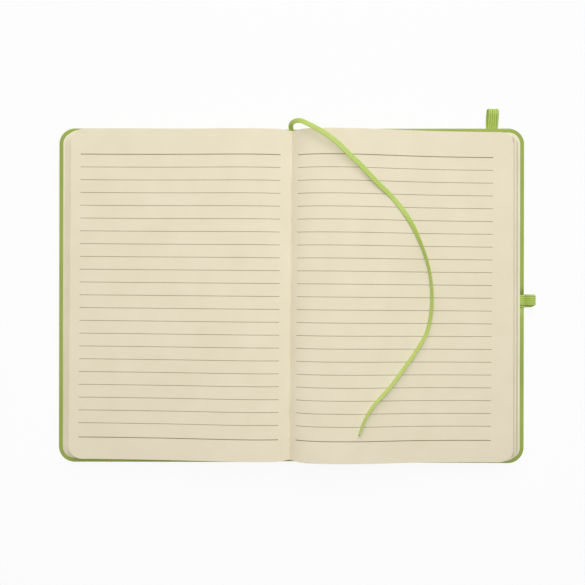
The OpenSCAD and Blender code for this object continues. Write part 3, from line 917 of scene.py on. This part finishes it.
# ribbon bookmark: out of the arch at the head and over the right page
ribbon = {
    "width": 3.0,
    "thick": 0.36,
    # by height on the page: how far its outer edge stands up in degrees, and the rise
    # of its middle over its edges in mm
    "rollY": [-86, -80, -65, -30, -5, 20, 35, 60, 75],
    "roll": [82, 74, 68, 62, 62, 68, 54, 0, 0],
    "curl": [0.15, 0.3, 0.35, 0.35, 0.25, 0.1, 0.05, 0, 0],
}
lie = 0.35
ribbonRun = [
    (0, 94, -4.4), (-0.1, 99, -4.4), (-0.5, 102.8, -4), (-1, 105, -1.8), (-0.9, 106.4, 0.8),
    (0.1, 107.4, 2.6), (2, 107.8, 3.5), (4.9, 107.4, 4.1), (8.1, 105.8, 4.5), (12, 103.6, 4.7),
    (17.1, 100.7, 4.6), (21.9, 97.6, 4.4), (26.7, 94, 4.1), (31.1, 90, 3.7), (35.5, 85.9, 3.3),
    (41.6, 80.6, 2.7), (46.9, 75.4, 2.1), (52.1, 70.3, 1.5), (56.9, 66.1, 0.9), (61.2, 62.2, lie),
    (68.5, 53.8, lie), (74.2, 45.6, lie), (78.8, 37, lie), (82.8, 28, lie), (85.9, 18.6, lie),
    (87.6, 9, lie), (88.2, -2, lie), (87.4, -12.6, lie), (85, -22.6, lie), (80.2, -31.4, lie),
    (72.4, -42.8, lie), (68.2, -48.6, lie), (61.4, -57.4, lie), (57, -62.2, lie),
    (52.8, -66.8, lie), (49.8, -71, lie), (47.4, -75.2, lie), (45.6, -79.4, lie),
    (44.4, -83, lie), (43.5, -86, lie)]


# a flat strip over the page, its way across kept in the page's own slope
def makeRibbon():
    p = np.array(ribbonRun, dtype=float)
    p = smoothPath(p, 0.8)
    x = p[:, 0]
    z = topHeight(1, np.maximum(0, x)) + cockle(1, np.maximum(0, x), p[:, 1]) + p[:, 2]
    line = np.stack([x, p[:, 1], z], -1)
    onPage = np.maximum(x, 1)
    slope = np.where(x < 14, 0, topHeight(1, onPage + 0.5) - topHeight(1, onPage - 0.5))
    along = np.gradient(line, axis=0)
    up = np.stack([-slope, np.zeros_like(x), np.ones_like(x)], -1)
    side = np.cross(up, along)
    side /= np.linalg.norm(side, axis=1, keepdims=True)
    roll = np.radians(np.interp(line[:, 1], ribbon["rollY"], ribbon["roll"]))[:, None]
    curl = np.interp(line[:, 1], ribbon["rollY"], ribbon["curl"])[:, None]
    line = line + (up * np.sin(roll) - side * (1 - np.cos(roll))) * ribbon["width"] / 2
    side = side * np.cos(roll) + up * np.sin(roll)
    v = np.linspace(-1, 1, 9)
    swell = ribbon["thick"] / 2 * np.sqrt(np.clip(1 - v**4, 0.06, 1))
    profile = np.concatenate([np.stack([v * ribbon["width"] / 2, swell], -1),
                              np.stack([v[::-1] * ribbon["width"] / 2, -swell[::-1]], -1)])
    rings = carriedStrip(line, side, profile)
    facing = np.cross(side, along / np.linalg.norm(along, axis=1, keepdims=True))
    bow = curl * (1 - (profile[:, 0] * 2 / ribbon["width"]) ** 2)[None, :]
    rings = rings + facing[:, None, :] * bow[:, :, None]
    points = skewPages(rings.reshape(-1, 3))
    piece = meshObject("ribbon", points, stripFaces(len(line), len(profile)),
                       finish["ribbon"], "book", ["ribbon_bookmark"])
    giveStripUv(piece, len(line), len(profile), line, ribbon["width"], profile)
    route = skewPages(line)
    return piece


makeRibbon()

# pieces kept as the part's source made them, with a look of their own
kept = {
    "card": ["front_board", "back_board", "spine_strip"],
    "endpaper": ["front_pastedown", "back_pastedown", "front_flyleaf", "back_flyleaf"],
    "lining": ["spine_lining"],
    "thread": ["sewing_thread"],
}
for look, names in kept.items():
    for node in names:
        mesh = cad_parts[node].data
        mesh.materials.clear()
        mesh.materials.append(finish[look])

# floor and light
stage = {"floorSize": 8.0, "whiteShare": 0.9, "roomLight": 0.33}


# 1 for the rays that should see the plain white background
def seenRays(tree, path):
    seen = mathNode(tree, "MAXIMUM", path.outputs["Is Camera Ray"], path.outputs["Is Glossy Ray"])
    return mathNode(tree, "MAXIMUM", seen, path.outputs["Is Transmission Ray"])


# a thin veil that takes the shadow: the white room shows through it, and so does a
# cover that is turned down below it
def makeFloor():
    material = bpy.data.materials.new("whiteTable")
    material.use_nodes = True
    tree = material.node_tree
    tree.nodes.clear()
    out = tree.nodes.new("ShaderNodeOutputMaterial")
    diffuse = tree.nodes.new("ShaderNodeBsdfDiffuse")
    diffuse.inputs["Color"].default_value = (0.86, 0.86, 0.85, 1)
    clear = tree.nodes.new("ShaderNodeBsdfTransparent")
    mix = tree.nodes.new("ShaderNodeMixShader")
    path = tree.nodes.new("ShaderNodeLightPath")
    share = mathNode(tree, "MULTIPLY", seenRays(tree, path), stage["whiteShare"])
    share = mathNode(tree, "MAXIMUM", share, path.outputs["Is Shadow Ray"])
    tree.links.new(share, mix.inputs["Fac"])
    tree.links.new(diffuse.outputs[0], mix.inputs[1])
    tree.links.new(clear.outputs[0], mix.inputs[2])
    tree.links.new(mix.outputs[0], out.inputs["Surface"])
    h = stage["floorSize"] / 2
    mesh = bpy.data.meshes.new("tableTop")
    mesh.from_pydata([(-h, -h, 0), (h, -h, 0), (h, h, 0), (-h, h, 0)], [], [(0, 1, 2, 3)])
    mesh.materials.append(material)
    floor = bpy.data.objects.new("tableTop", mesh)
    floor.location.z = -0.0002
    bpy.context.scene.collection.objects.link(floor)
    return floor


def areaLight(name, place, aim, size, power, colour=(1, 1, 1)):
    data = bpy.data.lights.new(name, "AREA")
    data.shape = "DISK"
    data.size = size
    data.energy = power
    data.color = colour
    lamp = bpy.data.objects.new(name, data)
    lamp.location = place
    direction = np.array(aim, dtype=float) - np.array(place, dtype=float)
    lamp.rotation_euler = Vector(direction).to_track_quat("-Z", "Y").to_euler()
    bpy.context.scene.collection.objects.link(lamp)


makeFloor()
areaLight("windowSoft", (0.2, 1.25, 0.9), (0, 0, 0), 1.7, 16.6)
areaLight("overheadSoft", (0.0, 0.05, 0.6), (0, 0.01, 0), 0.35, 1.2)
# the outsides of the covers, and a cover that is turned down
areaLight("underSoft", (0.1, -0.5, -0.9), (0, 0, 0), 1.7, 9)


# a pale room that lights softly and is plain white to the camera
def makeWorld():
    world = bpy.data.worlds.new("paleRoom")
    world.use_nodes = True
    tree = world.node_tree
    room = tree.nodes["Background"]
    room.inputs["Color"].default_value = (1, 1, 1, 1)
    room.inputs["Strength"].default_value = stage["roomLight"]
    white = tree.nodes.new("ShaderNodeBackground")
    white.inputs["Color"].default_value = (1, 1, 1, 1)
    mix = tree.nodes.new("ShaderNodeMixShader")
    path = tree.nodes.new("ShaderNodeLightPath")
    tree.links.new(seenRays(tree, path), mix.inputs["Fac"])
    tree.links.new(room.outputs[0], mix.inputs[1])
    tree.links.new(white.outputs[0], mix.inputs[2])
    tree.links.new(mix.outputs[0], tree.nodes["World Output"].inputs["Surface"])
    bpy.context.scene.world = world


makeWorld()
bpy.context.scene.view_settings.view_transform = "Standard"

print("scene ready")
